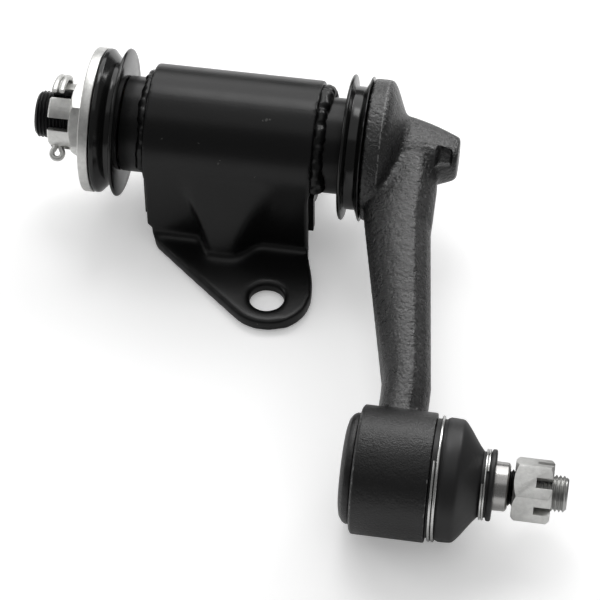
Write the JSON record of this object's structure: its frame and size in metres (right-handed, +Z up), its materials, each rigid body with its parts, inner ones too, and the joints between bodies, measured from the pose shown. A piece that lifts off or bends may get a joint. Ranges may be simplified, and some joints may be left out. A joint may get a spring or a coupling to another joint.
{
  "type": "steering idler arm",
  "caption": "Forged steering idler arm on a welded hat-section bracket, with a booted ball stud at its free end and a castellated pivot nut.",
  "frame": {"origin": "middle of the bounding box's underside, on the plane of the bracket's bolting flanges", "axes": "+X along the pivot axis from the nut end to the arm end, +Z up from the bolting plane, and the arm runs from the pivot towards -Y"},
  "size_m": [0.2392, 0.2398, 0.0755],
  "materials": {
    "black_paint": "gloss black paint on steel",
    "forged_black": "satin black over a forged surface",
    "zinc_plate": "zinc plated steel",
    "bright_steel": "ground bright steel",
    "seal_rubber": "smooth black rubber",
    "boot_rubber": "satin dark grey rubber",
    "bearing_plastic": "off-white bearing plastic",
    "bush_bronze": "sintered bronze"
  },
  "bodies": {
    "bracket": {"mounting_bracket": "black_paint", "pivot_tube": "black_paint", "tube_cradle": "black_paint", "weld_bead_nut_end": "black_paint", "weld_bead_arm_end": "black_paint", "bushing_nut_end": "bush_bronze", "bushing_arm_end": "bush_bronze", "dust_seal_nut_end": "seal_rubber", "dust_seal_arm_end": "seal_rubber"},
    "arm": {"idler_arm": "forged_black", "pivot_washer": "zinc_plate", "pivot_castle_nut": "zinc_plate", "cotter_pin": "zinc_plate", "housing_end_cap": "forged_black", "seat_spring": "bright_steel", "dust_boot": "boot_rubber", "boot_ring_large": "zinc_plate"},
    "seat": {"ball_seat": "bearing_plastic"},
    "boot_mouth": {"boot_ring_small": "zinc_plate"},
    "stud": {"ball_stud": "bright_steel", "stud_nut": "zinc_plate"}
  },
  "joints": [
    {"name": "arm_swing", "type": "hinge", "parent": "bracket", "child": "arm", "pos_m": [-0.03465, 0.0584, 0.044], "axis": [1, 0, 0], "range_deg": [-40, 40]},
    {"name": "seat_turn", "type": "hinge", "parent": "arm", "child": "seat", "pos_m": [0.05385, -0.0949, 0.025], "axis": [1, 0, 0], "continuous": true},
    {"name": "stud_tilt", "type": "hinge", "parent": "seat", "child": "boot_mouth", "pos_m": [0.05385, -0.0949, 0.025], "axis": [0, 0, 1], "range_deg": [-20, 20], "deforming": ["dust_boot"]},
    {"name": "stud_spin", "type": "hinge", "parent": "boot_mouth", "child": "stud", "pos_m": [0.05385, -0.0949, 0.025], "axis": [1, 0, 0], "continuous": true}
  ]
}
